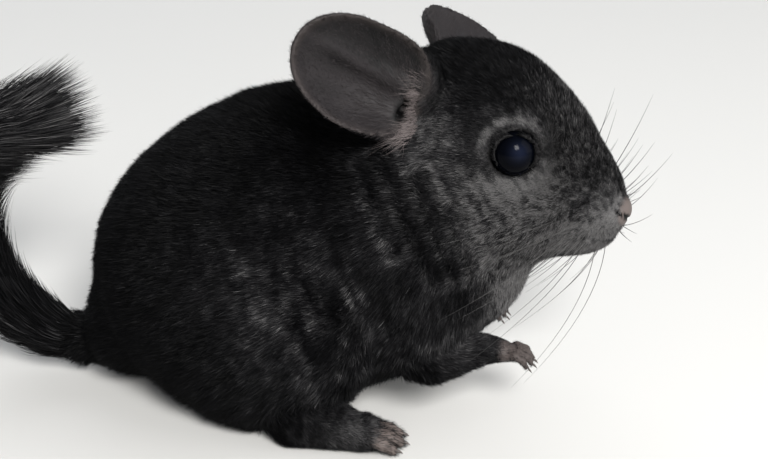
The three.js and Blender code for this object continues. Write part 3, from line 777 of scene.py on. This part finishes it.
def skin_material():
    made, nodes, links, shader = material("skin")
    place = nodes.new("ShaderNodeTexCoord").outputs["Object"]
    grain = nodes.new("ShaderNodeTexNoise")
    links.new(place, grain.inputs["Vector"])
    grain.inputs["Scale"].default_value = 900
    grain.inputs["Detail"].default_value = 3
    coat_tone = ramp(nodes, links, value_of(nodes, "paleness"), COAT_STOPS)
    under = mixed(nodes, links, 0.45, coat_tone, (0.003, 0.003, 0.003))
    broad = nodes.new("ShaderNodeTexNoise")
    links.new(place, broad.inputs["Vector"])
    broad.inputs["Scale"].default_value = 140
    bare = mixed(nodes, links, broad.outputs["Fac"], (0.010, 0.0085, 0.0095), (0.021, 0.018, 0.019))
    # The dark value holds black lids and painted shade in hollows.
    bare = mixed(nodes, links, value_of(nodes, "dark"), bare, (0.002, 0.002, 0.0022))
    # Pink skin, and a painted highlight on the ear's rim.
    bare = mixed(nodes, links, value_of(nodes, "pink_and_highlight"), bare, (0.21, 0.17, 0.155))
    colour = mixed(nodes, links, value_of(nodes, "bare"), under, bare)
    links.new(colour, shader.inputs["Base Color"])
    shader.inputs["Roughness"].default_value = 0.6
    shader.inputs["Specular IOR Level"].default_value = 0.22
    relief = nodes.new("ShaderNodeBump")
    relief.inputs["Strength"].default_value = 0.35
    relief.inputs["Distance"].default_value = 0.0003
    links.new(grain.outputs["Fac"], relief.inputs["Height"])
    links.new(relief.outputs[0], shader.inputs["Normal"])
    return made


def plain_material(name, colour, roughness, specular=0.5):
    made, nodes, links, shader = material(name)
    place = nodes.new("ShaderNodeTexCoord").outputs["Object"]
    grain = nodes.new("ShaderNodeTexNoise")
    links.new(place, grain.inputs["Vector"])
    grain.inputs["Scale"].default_value = 260
    darker = tuple(0.8 * c for c in colour)
    links.new(mixed(nodes, links, grain.outputs["Fac"], colour, darker), shader.inputs["Base Color"])
    shader.inputs["Roughness"].default_value = roughness
    shader.inputs["Specular IOR Level"].default_value = specular
    return made


COAT = coat_material()
SKIN = skin_material()


def eye_material():
    made, nodes, links, shader = material("eye")
    # A bluish painted reflection up and forward of the eye's middle, on the dark eye.
    colour = mixed(nodes, links, value_of(nodes, "painted_reflection"), (0.0006, 0.0008, 0.0016), (0.006, 0.008, 0.017))
    links.new(colour, shader.inputs["Base Color"])
    shader.inputs["Roughness"].default_value = 0.12
    shader.inputs["Specular IOR Level"].default_value = 0.035
    return made


EYE_GLOSS = eye_material()
CLAW = plain_material("claw", (0.10, 0.085, 0.078), 0.35)
WHISKER = plain_material("whisker", (0.05, 0.048, 0.047), 0.35)
# A darker copy of the whisker colour for the far side: painted shade.
SHADED_WHISKER = plain_material("shaded_whisker", (0.012, 0.012, 0.013), 0.4, 0.2)
EAR_HAIR = plain_material("ear_hair", (0.032, 0.028, 0.029), 0.5, 0.15)
PALE_HAIR = plain_material("pale_hair", (0.17, 0.145, 0.142), 0.5, 0.2)

# The skin

CELL = 0.66
SKIN_LOW, SKIN_HIGH = [-104, -46, -1], [56, 52, 99]
vertices, faces = surface(skin, SKIN_LOW, SKIN_HIGH, CELL)
_, slope = gradient(skin, vertices)
normals = unit(slope)


def ear_weight(p):
    """1 on an ear's leaf, falling to 0 where it joins the head."""
    leaf = smoothstep(0.9, 0.3, either_ear(ear_forms, p))
    clear = smoothstep(-0.5, 1.5, coat(p))
    return leaf * clear * smoothstep(0.2, 1.2, either_ear(mounds, p))


def hand_weight(p):
    return smoothstep(0.8, 0.2, either_arm(hand, p)) * np.maximum(
        smoothstep(26.5, 28.5, p[:, X]) * (p[:, Y] < 0),
        smoothstep(18.0, 20.0, p[:, X]) * (p[:, Y] > 0),
    )


def toe_weight(p):
    q = fold(p)
    return smoothstep(1.6, 0.4, whole_foot(q)) * smoothstep(1.5, 5.5, p[:, X]) * smoothstep(12, 8, p[:, Z])


def lid_weight(p):
    return smoothstep(5.9, 5.3, eye_gap(p))


def canal_weight(p):
    return smoothstep(2.2, 0.2, either_ear(canals, p))


def nose_weight(p):
    return smoothstep(1.0, 0.3, nose_pad(turned(p))) * smoothstep(46, 48, p[:, X])


ears_here = ear_weight(vertices)
hands_here = hand_weight(vertices)
toes_here = toe_weight(vertices)
lids_here = lid_weight(vertices)
nose_here = nose_weight(vertices)
canal_here = canal_weight(vertices)
pits = smoothstep(0.5, 0.1, nostril(fold(turned(vertices))))
bare_here = np.clip(ears_here + hands_here + 0.7 * toes_here + lids_here + nose_here + canal_here, 0, 1)
skin_piece = mesh_object("skin", vertices, faces, SKIN)
give(skin_piece, "paleness", markings_and_painted_light(vertices))
give(skin_piece, "bare", bare_here)
near_ear = smoothstep(0, -8, vertices[:, Y])
across_ear, up_ear, _ = ear_local(vertices, "right")
front_shade_here = ears_here * smoothstep(3, 5, across_ear) * near_ear
rim_highlight_here = ears_here * smoothstep(0.84, 0.98, ear_out(across_ear, up_ear)) * near_ear
turn_on_ear = np.arctan2(up_ear - 2, across_ear + 1)
rays = noise(np.stack([14 * turn_on_ear, 0.12 * up_ear, 0.12 * across_ear], 1), 1.0, 17)
veined = ears_here * near_ear * np.clip(0.12 + 0.5 * rays, 0, 1)
# Darker: the black lids, the leaf's own streaks, and painted shade in the canal, the nostrils and the leaf's
# front past its fold.
give(skin_piece, "dark", np.clip(lids_here + canal_here + pits + 0.7 * front_shade_here + veined, 0, 1))
# Pink skin on the nose pad, hands and toes, and a painted highlight along the ear's rim.
pink_and_highlight_here = 0.42 * nose_here * (1 - pits) + 0.26 * hands_here + 0.75 * toes_here + 0.10 * rim_highlight_here
give(skin_piece, "pink_and_highlight", np.clip(pink_and_highlight_here, 0, 1))
FLESH = [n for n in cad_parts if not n.startswith("eye")]
piece(skin_piece, "coat", *FLESH)

# Eyes


def ball(name, centre, radius, material_, segments=64):
    u = np.linspace(0, 2 * math.pi, segments, endpoint=False)
    v = np.linspace(0, math.pi, segments // 2 + 1)[1:-1]
    rows = len(v)
    ring = np.stack(
        [
            np.outer(np.sin(v), np.cos(u)).ravel(),
            np.outer(np.sin(v), np.sin(u)).ravel(),
            np.repeat(np.cos(v), segments),
        ],
        1,
    )
    points = np.r_[ring, [[0, 0, 1]], [[0, 0, -1]]] * radius + centre
    r, c = np.meshgrid(np.arange(rows - 1), np.arange(segments), indexing="ij")
    r, c = r.ravel(), c.ravel()
    n = (c + 1) % segments
    quads = np.stack([r * segments + c, (r + 1) * segments + c, (r + 1) * segments + n, r * segments + n], 1)
    c = np.arange(segments)
    n = (c + 1) % segments
    top = np.stack([np.full(segments, rows * segments), c, n], 1)
    low_row = (rows - 1) * segments
    bottom = np.stack([np.full(segments, rows * segments + 1), low_row + n, low_row + c], 1)
    return mesh_object(name, points, [quads, np.r_[top, bottom]], material_)


REFLECTION_RADIUS = 1.7
for name, mirror in (("right", np.ones(3)), ("left", MIRROR)):
    eyeball = ball("eyeball_" + name, EYE * mirror, EYE_RADIUS, EYE_GLOSS)
    on_eye = np.array([v.co for v in eyeball.data.vertices]) * MM - SHIFT
    # Where the painted reflection lies on each eye.
    reflection_middle = (EYE + 0.85 * EYE_RADIUS * unit(EYE_OUTWARD) + [0.6, 0, 0.9]) * mirror
    give(eyeball, "painted_reflection", np.exp(-((np.linalg.norm(on_eye - reflection_middle, axis=1) / REFLECTION_RADIUS) ** 2)))
    piece(eyeball, "eyes", "eye_" + name)

# Fur


def unwrap(p, n):
    """A place on the skin in a flat layout of six views of it, by the way that it faces."""
    axis = np.abs(n).argmax(1)
    sign = np.take_along_axis(n, axis[:, None], 1)[:, 0] > 0
    across = np.choose(axis, [p[:, Y], p[:, X], p[:, X]])
    along = np.choose(axis, [p[:, Z], p[:, Z], p[:, Y]])
    u = (across + 105) / 165
    v = np.where(axis == Z, (along + 55) / 110, (along + 2) / 102)
    return np.stack([(axis + 0.04 + 0.92 * u) / 3, (sign + 0.04 + 0.92 * v) / 2], 1)


def sample_surface(points, quads, weights, count):
    """Random places on the mesh, more where the weight is higher."""
    triangles = np.r_[quads[:, [0, 1, 2]], quads[:, [0, 2, 3]]]
    a, b, c = (points[triangles[:, k]] for k in range(3))
    area = 0.5 * np.linalg.norm(np.cross(b - a, c - a), axis=1)
    share = area * weights[triangles].mean(1)
    chosen = np.searchsorted(np.cumsum(share) / share.sum(), rng.random(count))
    chosen = np.minimum(chosen, len(triangles) - 1)
    s, t = rng.random(count), rng.random(count)
    over = s + t > 1
    s[over], t[over] = 1 - s[over], 1 - t[over]
    corners = triangles[chosen]
    mix = np.stack([1 - s - t, s, t], 1)[:, :, None]
    return (points[corners] * mix).sum(1), unit((normals[corners] * mix).sum(1))


BAKE_PATCH = 0.003  # a hair's place in the layout, as a share of its side


def blades(name, roots, ways, faces_out, lengths, widths, bends, tones, material_, slot, steps=2):
    """Flat tapered hairs. Each leaves its root along ways and bends towards bends, in that many steps."""
    count = len(roots)
    side = unit(np.cross(ways, faces_out))
    roll = rng.uniform(-0.9, 0.9, count)[:, None]
    side = unit(side * np.cos(roll) + unit(np.cross(side, ways)) * np.sin(roll))
    rows = []
    place = roots.copy()
    for n in range(steps + 1):
        s = n / steps
        if n:
            way = unit(ways + bends * ((n - 0.5) / steps))
            place = place + way * (lengths / steps)[:, None]
        if n < steps:
            half = 0.5 * widths * (1 - 0.55 * s)
            rows += [place - side * half[:, None], place + side * half[:, None]]
        else:
            rows.append(place)
    per = 2 * steps + 1
    points = np.stack(rows, 1).reshape(-1, 3)
    points[:, Z] = np.maximum(points[:, Z], FLOOR_CLEAR)
    first = (np.arange(count) * per)[:, None]
    quad_rows = np.array([[2 * n, 2 * n + 1, 2 * n + 3, 2 * n + 2] for n in range(steps - 1)])
    quads = (first[:, :, None] + quad_rows[None]).reshape(-1, 4) if steps > 1 else np.zeros((0, 4), int)
    tips = first + np.array([[2 * steps - 2, 2 * steps - 1, 2 * steps]])
    made = mesh_object(name, points, [quads, tips], material_)
    share = np.array([n // 2 / steps for n in range(per - 1)] + [1.0])
    give(made, "tip", np.tile(share, count))
    give(made, "paleness", np.repeat(tones, per))
    spots = unwrap(roots, faces_out)
    across = np.array([n % 2 for n in range(per - 1)] + [0.5]) - 0.5
    offsets = np.stack([across, share - 0.5], 1) * BAKE_PATCH
    uv_points = (spots[:, None, :] + offsets[None]).reshape(-1, 2)
    corners = np.concatenate([quads.ravel(), tips.ravel()])
    layer = made.data.uv_layers.new(name="OFBake")
    layer.data.foreach_set("uv", uv_points[corners].astype(np.float32).ravel())
    return piece(made, slot)


def flow(p):
    """The way that the coat lies."""
    q = fold(p)
    sign = np.where(p[:, Y] < 0, 1.0, -1.0)
    from_nose = np.linalg.norm(p - NOSE, axis=1)
    face_way = unit(p - NOSE)
    back_way = np.tile(unit([-1, 0, -0.3]), (len(p), 1))
    chest_way = np.tile(unit([-0.25, 0, -1]), (len(p), 1))
    at_face = smoothstep(52, 30, from_nose)[:, None]
    at_chest = (smoothstep(-8, 16, p[:, X]) * smoothstep(48, 34, p[:, Z]))[:, None]
    way = back_way * (1 - at_chest) + chest_way * at_chest
    way = way * (1 - at_face) + face_way * at_face
    at_foot = smoothstep(3.5, 1.0, whole_foot(q))[:, None]
    way = way * (1 - at_foot) + np.array([1, 0, -0.25]) * at_foot
    at_arm = smoothstep(3.0, 0.5, either_arm(forearm, p))[:, None]
    along_arm = unit(np.array(WRIST) - np.array(ELBOW))
    arm_way = np.tile(along_arm, (len(p), 1)) * np.c_[np.ones(len(p)), sign, np.ones(len(p))]
    way = way * (1 - at_arm) + arm_way * at_arm
    way = way + 0.22 * np.stack([noise(p, 11, 11), noise(p, 11, 12), noise(p, 11, 13)], 1)
    return way + 0.14 * np.stack([noise(p, 3.2, 14), noise(p, 3.2, 15), noise(p, 3.2, 16)], 1)


def fur_length(p):
    from_nose = np.linalg.norm(p - NOSE, axis=1)
    made = 0.9 + 0.9 * smoothstep(5, 24, from_nose) + 1.9 * smoothstep(34, 70, from_nose)
    made = np.minimum(made, 0.9 + 3 * smoothstep(EYE_RADIUS, 24, eye_gap(p)))
    q = fold(p)
    made = np.where(whole_foot(q) < 1.0, np.minimum(made, 1.5), made)
    made = np.where(either_arm(hand, p) < 1.2, np.minimum(made, 0.8), made)
    made = np.where(either_arm(forearm, p) < 0.2, np.minimum(made, 2.2), made)
    return np.minimum(made, 1.1 + 2 * smoothstep(0.5, 7, either_ear(mounds, p)))


length_here = fur_length(vertices)
tail_here = smoothstep(1.5, 0.5, tail_core(vertices)) * smoothstep(-66, -72, vertices[:, X])
density = np.clip(3.6 / length_here, 0.8, 3.0)
density *= np.clip(1 - ears_here - canal_here - nose_here, 0, 1)
density *= 1 - smoothstep(5.6, 5.1, eye_gap(vertices))
density *= (1 - tail_here) * (1 - hands_here * 0.8) * (1 - toes_here * 0.85)
density *= (vertices[:, Z] > 0.4) * (1 - smoothstep(0.5, 0.1, mouth(fold(turned(vertices)))))
COAT_PIECES = 7
COAT_HAIRS = 900_000
roots, outward = sample_surface(vertices, faces, density, COAT_HAIRS)
order = np.argsort(roots[:, X])
roots, outward = roots[order], outward[order]
ways = flow(roots)
tangent = unit(ways - (ways * outward).sum(1)[:, None] * outward)
lengths = fur_length(roots) * rng.uniform(0.8, 1.15, len(roots))
lean = np.radians(rng.normal(46, 9, len(roots)) + 12 * noise(roots, 4, 21))[:, None]
directions = outward * np.cos(lean) + tangent * np.sin(lean)
directions = unit(directions + 0.12 * rng.normal(size=directions.shape))
widths = np.clip(0.075 * lengths, 0.09, 0.24) * 1.0
speckle = 0.15 + 0.08 * smoothstep(45, 20, np.linalg.norm(roots - NOSE, axis=1))
tones = np.clip(markings_and_painted_light(roots) + speckle * rng.normal(size=len(roots)), 0, 1)
bends = tangent * 0.55 - outward * 0.15
for n, part in enumerate(np.array_split(np.arange(len(roots)), COAT_PIECES)):
    blades(
        f"coat_{n + 1}", roots[part] - outward[part] * 0.15, directions[part], outward[part],
        lengths[part], widths[part], bends[part], tones[part], COAT, "coat", steps=1,
    )

# Tail brush


TAIL_SLOPE = np.gradient(TAIL, axis=0)


def on_tail(distance):
    """The place on the tail's middle line that far from its root, and the way that the line runs there."""
    numbers = np.arange(len(TAIL))
    at = np.interp(distance, TAIL_AT, numbers)
    place, way = (
        np.stack([np.interp(at, numbers, line[:, k]) for k in range(3)], 1) for line in (TAIL, TAIL_SLOPE)
    )
    return place, unit(way)


def tail_hairs(count):
    t = rng.uniform(0.07, 1.0, count) ** 0.9
    centre, along = on_tail(t * TAIL_LENGTH)
    turn = rng.uniform(0, 2 * math.pi, count)
    side = unit(np.cross(along, [0.0, 1.0, 0.0]))
    other = np.cross(along, side)
    out = side * np.cos(turn)[:, None] + other * np.sin(turn)[:, None]
    radius = np.interp(t, [0, 1], [4.6, 2.4])
    return t, centre + out * radius[:, None] * 0.9, along, out


BRUSH_PIECES = 2
BRUSH_HAIRS = 32_000
BRUSH_WIDTH = 0.22
t, start, along, out = tail_hairs(BRUSH_HAIRS)
brush_length = (8 + 13 * smoothstep(0.0, 0.45, t)) * rng.uniform(0.6, 1.1, BRUSH_HAIRS)
_, later = on_tail(np.clip(t * TAIL_LENGTH + brush_length, 0, TAIL_LENGTH))
spread = rng.uniform(0.25, 0.55, BRUSH_HAIRS)[:, None]
hair_way = unit(along + out * spread + 0.06 * rng.normal(size=out.shape))
hair_bend = (later - along) * 1.5 - out * spread * 0.45
tail_marks = 0.26 + 0.3 * smoothstep(28, 50, start[:, Z]) + 0.2 * rng.normal(size=BRUSH_HAIRS)
tail_marks = np.clip(tail_marks, 0, 1)
for n, part in enumerate(np.array_split(np.arange(BRUSH_HAIRS), BRUSH_PIECES)):
    blades(
        f"tail_brush_{n + 1}", start[part], hair_way[part], out[part], brush_length[part],
        np.full(len(part), BRUSH_WIDTH), hair_bend[part], tail_marks[part], COAT, "tail_hair", steps=4,
    )

# Fine hair on the ears, lying out from the canal

EAR_HAIRS = 26_000
ear_roots, ear_out_way = sample_surface(vertices, faces, ears_here * (1 - canal_here), EAR_HAIRS)
nearer = ear_forms["right"](ear_roots) < ear_forms["left"](ear_roots)
source = np.where(nearer[:, None], *[ear_place(name, -1, 3, 2) for name in ("right", "left")])
away = ear_roots - source
ear_tangent = unit(away - (away * ear_out_way).sum(1)[:, None] * ear_out_way)
ear_tangent = unit(ear_tangent + 0.25 * rng.normal(size=ear_tangent.shape))
ear_direction = unit(ear_tangent + 0.16 * ear_out_way)
close = smoothstep(16, 4, np.linalg.norm(away, axis=1))
blades(
    "ear_hair", ear_roots, ear_direction, ear_out_way, rng.uniform(0.5, 1.1, EAR_HAIRS) * (1 + 2.2 * close),
    np.full(EAR_HAIRS, 0.07), -0.2 * ear_out_way, np.full(EAR_HAIRS, 0.5), EAR_HAIR, "ears",
)

# Pale tufts round the canal

TUFTS = 1000
TUFT_WIDTH = 0.036
tuft_roots, tuft_ways, tuft_lengths = [], [], []
_, wide, along, hollow = ear_frame("right")
for _ in range(TUFTS):
    across = rng.triangular(-7, -1, 8)
    up = 2.6 + 0.38 * max(across, -2) + 0.5 * abs(min(across + 2, 0)) + rng.uniform(-1.0, 2.4)
    tuft_roots.append(ear_place("right", across, up, ear_cup(across, up) + 0.3))
    fan = wide * (-0.35 + 0.06 * across) + along * rng.uniform(0.6, 1.1) + hollow * rng.uniform(0.1, 0.5)
    tuft_ways.append(fan + 0.24 * rng.normal(size=3))
    before_canal = abs(across - 0.4) < 2.4
    tuft_lengths.append(rng.uniform(1.6, 6.5) * (0.4 if before_canal else 1))
tuft_ways = unit(np.array(tuft_ways))
tuft_bend = -0.25 * hollow - 0.2 * wide
blades(
    "ear_tufts", np.array(tuft_roots), tuft_ways, np.tile(hollow, (TUFTS, 1)), np.array(tuft_lengths),
    np.full(TUFTS, TUFT_WIDTH), np.tile(tuft_bend, (TUFTS, 1)), np.full(TUFTS, 0.5), PALE_HAIR, "ears",
)

# Whiskers


def tubes(name, ways, radii, material_, slot, sides=5):
    """Thin round rods along lines of points, tapering to their ends."""
    all_points, all_faces, first = [], [], 0
    for way, radius in zip(ways, radii):
        way = np.asarray(way)
        slopes = unit(np.gradient(way, axis=0))
        side = unit(np.cross(slopes, [0.13, 0.2, 0.97]))
        other = np.cross(slopes, side)
        turns = np.arange(sides) * 2 * math.pi / sides
        taper = radius * (1 - 0.85 * np.linspace(0, 1, len(way)) ** 1.6)
        ring = side[:, None] * np.cos(turns)[None, :, None] + other[:, None] * np.sin(turns)[None, :, None]
        points = way[:, None] + ring * taper[:, None, None]
        r, c = np.meshgrid(np.arange(len(way) - 1), np.arange(sides), indexing="ij")
        r, c = r.ravel(), c.ravel()
        n = (c + 1) % sides
        quads = np.stack([r * sides + c, r * sides + n, (r + 1) * sides + n, (r + 1) * sides + c], 1)
        all_points.append(points.reshape(-1, 3))
        all_faces.append(quads + first)
        first += len(way) * sides
    made = mesh_object(name, np.concatenate(all_points), np.concatenate(all_faces), material_)
    return piece(made, slot)


def arc(start, way, droop, length, steps=14):
    """A line from start along way that curves towards droop."""
    place, made = np.array(start, float), [np.array(start, float)]
    for n in range(steps):
        s = (n + 0.5) / steps
        place = place + unit(np.array(way) + np.array(droop) * s) * length / steps
        made.append(place.copy())
    return np.array(made)


near_whiskers, far_whiskers = [], []
WHISKER_CLEAR = 3  # above the floor
for n, root in enumerate(WHISKER_ROOTS):
    row, column = divmod(n, WHISKER_COLUMNS)
    way = unit([0.38 - 0.05 * column, 0.9, 0.18 - 0.15 * row]) + 0.07 * rng.normal(size=3)
    far_whiskers.append(arc(root * MIRROR, way, [-0.05, 0.1, 0.24], 20 + 18 * rng.random()))
    way = unit([0.02 - 0.12 * column, -1.0, 0.10 - 0.12 * row]) + 0.08 * rng.normal(size=3)
    droop = [-0.95, 0.45, -0.35 - 0.06 * row]
    length = 16 + 22 * rng.random()
    line = arc(root, way, droop, length)
    while line[-1, Z] < WHISKER_CLEAR:
        length *= 0.9
        line = arc(root, way, droop, length)
    near_whiskers.append(line)
    if column < 2:
        way = unit([0.9, 0.3 * column, 0.5 - 0.3 * row]) + 0.2 * rng.normal(size=3)
        far_whiskers.append(arc(root * [1, -0.5, 1] + [2, 0, 0.5], way, [0, 0, 0.3], 3 + 3 * rng.random()))
tubes("near_whiskers", near_whiskers, [0.075] * len(near_whiskers), WHISKER, "coat")
# The far whiskers take the darker copy: painted shade.
tubes("far_whiskers", far_whiskers, [0.1] * len(far_whiskers), SHADED_WHISKER, "coat")

# Claws

claw_ways, claw_radii = [], []
for way in FINGERS:
    a, b = np.array(way[-2]), np.array(way[-1])
    tip = b + unit(b - a) * 0.35 + [0.25, 0, 0.1]
    line = arc(tip, unit(b - a) + [0.35, 0, 0], [0.2, 0, -0.7], 1.1, 5)
    claw_ways += [line, line * MIRROR - [LEFT_ARM_BACK, 0, 0]]
    claw_radii += [0.24, 0.24]
for way in TOES + [INNER_TOE]:
    a, b = np.array(way[-2]), np.array(way[-1])
    line = arc(b + unit(b - a) * 0.7 + [0, 0, 0.35], [1, 0, 0.1], [0, 0, -0.9], 1.7, 6)
    claw_ways += [line, line * MIRROR]
    claw_radii += [0.42, 0.42]
tubes("claws", claw_ways, claw_radii, CLAW, "paws", sides=8)

# Stage


def floor(half, colour):
    made, _, _, shader = material("floor")
    shader.inputs["Base Color"].default_value = (*colour, 1)
    shader.inputs["Roughness"].default_value = 0.8
    mesh = bpy.data.meshes.new("floor")
    corners = [(-half, -half, 0), (half, -half, 0), (half, half, 0), (-half, half, 0)]
    mesh.from_pydata(corners, [], [[0, 1, 2, 3]])
    mesh.materials.append(made)
    obj = bpy.data.objects.new("floor", mesh)
    bpy.context.scene.collection.objects.link(obj)


floor(3, (0.62, 0.615, 0.60))

world = bpy.data.worlds.new("world")
bpy.context.scene.world = world
world.use_nodes = True
background = world.node_tree.nodes["Background"]
background.inputs["Color"].default_value = (0.93, 0.96, 1.0, 1)
background.inputs["Strength"].default_value = 0.33


def area_light(name, place, target, size, power, colour):
    light = bpy.data.lights.new(name, "AREA")
    light.shape = "RECTANGLE"
    light.size = light.size_y = size
    light.energy = power
    light.color = colour
    obj = bpy.data.objects.new(name, light)
    obj.location = place
    obj.rotation_euler = (Vector(target) - Vector(place)).to_track_quat("-Z", "Y").to_euler()
    bpy.context.scene.collection.objects.link(obj)


area_light("key", (0.37, -0.68, 0.62), (0.02, 0, 0.05), 0.3, 14, (1, 0.99, 0.97))
area_light("side", (0.9, 0.1, 0.5), (0.03, 0, 0.05), 1.0, 6, (1, 0.99, 0.98))
area_light("back", (-0.5, 0.85, 0.72), (0, 0, 0.05), 1.1, 6, (0.95, 0.97, 1))

# Camera

AZIMUTH, ELEVATION, DISTANCE = math.radians(12), math.radians(25), 324.6
TARGET = np.array([0, 0, 38.4])
from_target = np.array([
    math.sin(AZIMUTH) * math.cos(ELEVATION), -math.cos(AZIMUTH) * math.cos(ELEVATION), math.sin(ELEVATION),
])
camera = bpy.data.cameras.new("camera")
camera.lens = 70
camera.sensor_width = 36
camera.clip_start = 0.01
camera_object = bpy.data.objects.new("camera", camera)
bpy.context.scene.collection.objects.link(camera_object)
camera_object.location = (TARGET + from_target * DISTANCE + SHIFT) / MM
camera_object.rotation_euler = (math.pi / 2 - ELEVATION, 0, AZIMUTH)
bpy.context.scene.camera = camera_object
bpy.context.scene.view_settings.view_transform = "Standard"
